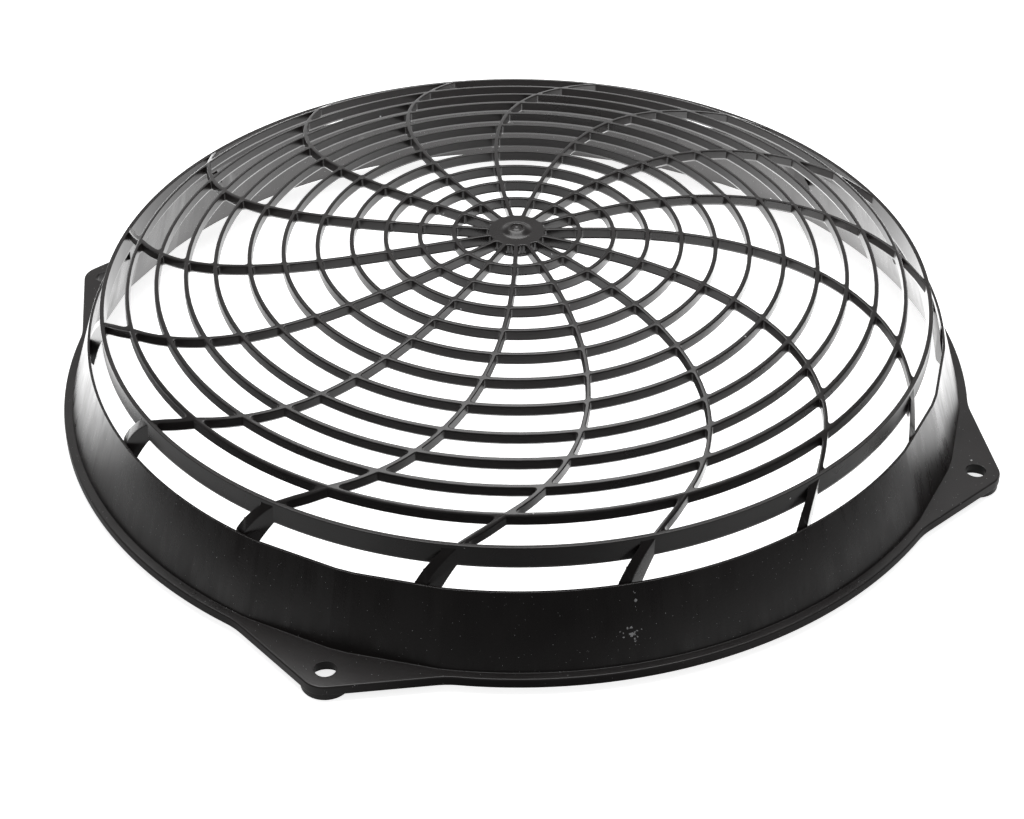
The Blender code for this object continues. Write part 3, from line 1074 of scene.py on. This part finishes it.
def moulded_plastic(name, finish, streaks=0.0, chips=()):
    """Black moulded plastic: grain, slow changes of gloss, dust, draw streaks and chips."""
    material, tree, place = empty_material(name)
    mottling = effect(tree, "Gloss mottling", mottling_group, place)
    marks = effect(tree, "Dust specks", dust_group, place)["Mask"]
    height = effect(tree, "Moulded grain", grain_group, place)["Height"]
    roughness = calculate(tree, 'ADD', mottling["Change"], finish.roughness)
    if streaks:
        levels = effect(tree, "Draw streaks", streak_group, place)
        for level, weight in STREAK_WEIGHTS.items():
            roughness = calculate(tree, 'MULTIPLY_ADD', levels[level], weight * streaks, roughness)
        height = calculate(tree, 'MULTIPLY_ADD', levels["Streak"], STREAK_HEIGHT, height)
    for cluster in chips:
        marks = calculate(tree, 'MAXIMUM', marks, effect(tree, "Chips", chip_group, place, cluster)["Mask"])
    lifted = [TONE_LIFT * part for part in finish.plastic]
    tone = mix(tree, mottling["Tone"], (*finish.plastic, 1.0), (*lifted, 1.0), 'RGBA')
    speckled = mix(tree, marks, tone, (*finish.speck, 1.0), 'RGBA')
    bump = add_node(tree, 'ShaderNodeBump', {**BUMP, "Height": height}).outputs["Normal"]
    worn = calculate(tree, 'MULTIPLY_ADD', marks, MARK_ROUGHNESS, roughness)
    add_shader(tree, {"IOR": PLASTIC_IOR, "Base Color": speckled, "Roughness": worn, "Normal": bump})
    return material


def finish_piece(item, material):
    """Shade and colour a finished piece, hang it on its body and hide the CAD part it replaces."""
    make_active(item)
    bpy.ops.object.shade_smooth_by_angle(angle=SMOOTH_ANGLE, keep_sharp_edges=True)
    weighted = item.modifiers.new("weighted", 'WEIGHTED_NORMAL')
    weighted.keep_sharp = True
    bpy.ops.object.modifier_apply(modifier=weighted.name)
    item.data.materials.clear()
    item.data.materials.append(material)
    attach(item, BODY)
    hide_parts(NODE)


# Stage
def facing(tree, place, heading, away=1.0):
    """How far a place or direction lies toward a heading, from -1 to 1."""
    along = add_node(tree, 'ShaderNodeVectorMath', {0: place, 1: polar(1.0, heading)},
                     operation='DOT_PRODUCT').outputs["Value"]
    return calculate(tree, 'DIVIDE', along, away)


def mirrored_floor(tree, place, stage):
    """Strength of the floor's light as the plastic mirrors it: bright under the guard and behind."""
    away = add_node(tree, 'ShaderNodeVectorMath', {0: place}, operation='LENGTH').outputs["Value"]
    bright = remap(tree, facing(tree, place, stage.bright_side, away), BRIGHT_TURN)
    camera_side = heading_of(Vector(stage.camera_place))
    shade = remap(tree, facing(tree, place, camera_side, away), SHADE_TURN, (1.0, SHADE_LEVEL))
    near = calculate(tree, 'MULTIPLY', remap(tree, away, NEAR_REACH, (stage.floor_near, 0.0)), shade)
    strength = remap(tree, away, WIDE_REACH, (stage.floor_bright, WIDE_LEVEL))
    far = calculate(tree, 'MULTIPLY_ADD', bright, strength, stage.floor_dim)
    # Painted shadow: the floor's light is dimmed close round the skirt, where the guard shades the floor.
    outside = calculate(tree, 'MULTIPLY', calculate(tree, 'ADD', near, far),
                        remap(tree, away, SKIRT_SHADOW_REACH, (SKIRT_SHADOW_LEVEL, 1.0)))
    beside = remap(tree, facing(tree, place, stage.bright_under, away), BESIDE_TURN)
    side = calculate(tree, 'MULTIPLY', beside, remap(tree, away, BESIDE_REACH, (0.0, stage.floor_under)))
    middle = remap(tree, away, MIDDLE_REACH, (stage.floor_middle, stage.floor_under))
    under = remap(tree, away, GUARD_REACH, (1.0, 0.0))
    return mix(tree, under, outside, calculate(tree, 'ADD', side, middle))


def floor_material(finish, stage):
    """A plain pale floor, whose own light differs between the camera's view and mirror images."""
    material, tree, place = empty_material("pale_floor")
    seen = tree.nodes.new('ShaderNodeLightPath').outputs["Is Camera Ray"]
    glow = mix(tree, seen, mirrored_floor(tree, place, stage), stage.floor_glow)
    tint = mix(tree, seen, BLACK, (*finish.floor, 1.0), 'RGBA')
    add_shader(tree, {"Base Color": tint, "Roughness": FLOOR_ROUGHNESS, "Specular IOR Level": 0.0,
                      "Emission Color": WHITE, "Emission Strength": glow})
    return material


def add_floor(finish, stage):
    deselect_all()
    bpy.ops.mesh.primitive_plane_add(size=stage.floor_size)
    floor = bpy.context.object
    floor.name = "floor"
    floor.data.materials.append(floor_material(finish, stage))


def add_overhead(stage):
    """The soft box overhead, aimed at the middle of the floor."""
    deselect_all()
    bpy.ops.object.light_add(type='AREA', location=stage.overhead_place)
    light = bpy.context.object
    light.name = "overhead"
    light.data.shape = 'SQUARE'
    light.data.size = stage.overhead_size
    light.data.energy = stage.overhead
    light.rotation_euler = (-Vector(stage.overhead_place)).to_track_quat('-Z', 'Y').to_euler()


def add_surround(stage):
    """A surround that is dim at the horizon and grey higher up, and pale where the camera sees it."""
    world = bpy.data.worlds.new("surround")
    bpy.context.scene.world = world
    world.use_nodes = True
    tree = world.node_tree
    place = tree.nodes.new('ShaderNodeTexCoord').outputs["Generated"]
    rise = split_axes(tree, place)["Z"]
    above = remap(tree, rise, ABOVE_RISE, (stage.horizon, stage.surround))
    behind = remap(tree, facing(tree, place, stage.bright_side), BEHIND_TURN, (0.0, stage.backdrop))
    low = remap(tree, rise, BEHIND_RISE, (1.0, BEHIND_LEVEL))
    glow = calculate(tree, 'MULTIPLY_ADD', behind, low, above)
    seen = tree.nodes.new('ShaderNodeLightPath').outputs["Is Camera Ray"]
    backdrop = tree.nodes["Background"]
    backdrop.inputs["Color"].default_value = WHITE
    tree.links.new(calculate(tree, 'MAXIMUM', glow, seen), backdrop.inputs["Strength"])


def add_camera(stage):
    deselect_all()
    bpy.ops.object.camera_add(location=stage.camera_place)
    camera = bpy.context.object
    gaze = Vector(stage.camera_aim) - Vector(stage.camera_place)
    turn = gaze.to_track_quat('-Z', 'Y') @ Quaternion((0, 0, 1), stage.roll)
    camera.rotation_euler = turn.to_euler()
    camera.data.lens = stage.lens
    camera.data.sensor_width = SENSOR_WIDTH
    camera.data.dof.use_dof = False
    bpy.context.scene.camera = camera


# Operators
class GUARD_OT_grille(bpy.types.Operator):
    """Add the domed web of rings and spokes, the band round it and the fins outside it"""
    bl_idname = "guard.grille"
    bl_label = "Add grille"

    def execute(self, context):
        sizes = context.scene.guard_grille
        material = moulded_plastic("grille_plastic", context.scene.guard_finish)
        finish_piece(add_web(sizes), material)
        finish_piece(add_band(sizes), material)
        finish_piece(add_fins(sizes, context.scene.guard_base), material)
        return {'FINISHED'}


class GUARD_OT_base(bpy.types.Operator):
    """Add the skirt, flange, lugs and feet"""
    bl_idname = "guard.base"
    bl_label = "Add base"

    def execute(self, context):
        finish = context.scene.guard_finish
        chips = [{"Centre": finish.chips_upper, **UPPER_CHIPS}, {"Centre": finish.chips_lower, **LOWER_CHIPS}]
        material = moulded_plastic("base_plastic", finish, BASE_STREAKS, chips)
        finish_piece(add_base(context.scene.guard_base), material)
        return {'FINISHED'}


class GUARD_OT_stage(bpy.types.Operator):
    """Add the floor, the soft box, the surround and the camera"""
    bl_idname = "guard.stage"
    bl_label = "Add stage"

    def execute(self, context):
        stage = context.scene.guard_stage
        add_floor(context.scene.guard_finish, stage)
        add_overhead(stage)
        add_surround(stage)
        add_camera(stage)
        context.scene.view_settings.view_transform = 'Standard'
        return {'FINISHED'}


class VIEW3D_PT_fan_guard(bpy.types.Panel):
    """Lists the guard's pieces and sizes"""
    bl_label = "Fan Guard"
    bl_space_type = 'VIEW_3D'
    bl_region_type = 'UI'
    bl_category = "Fan Guard"

    def draw(self, context):
        layout = self.layout
        for operator in OPERATORS:
            layout.operator(operator.bl_idname)
        for name in SETTINGS:
            group = getattr(context.scene, name)
            box = layout.box()
            box.label(text=group.bl_rna.name)
            for field in group.bl_rna.properties.keys()[2:]:
                box.prop(group, field)


OPERATORS = (GUARD_OT_grille, GUARD_OT_base, GUARD_OT_stage)
SETTINGS = {"guard_grille": GuardGrilleSizes, "guard_base": GuardBaseSizes, "guard_finish": GuardFinish,
            "guard_stage": GuardStage}


def register():
    for kind in (*SETTINGS.values(), *OPERATORS, VIEW3D_PT_fan_guard):
        bpy.utils.register_class(kind)
    for name, kind in SETTINGS.items():
        setattr(bpy.types.Scene, name, PointerProperty(type=kind))


def unregister():
    for name in SETTINGS:
        delattr(bpy.types.Scene, name)
    for kind in (VIEW3D_PT_fan_guard, *reversed(OPERATORS), *reversed(SETTINGS.values())):
        bpy.utils.unregister_class(kind)


def main():
    register()
    bpy.ops.guard.grille()
    bpy.ops.guard.base()
    bpy.ops.guard.stage()


if __name__ == "__main__":
    main()
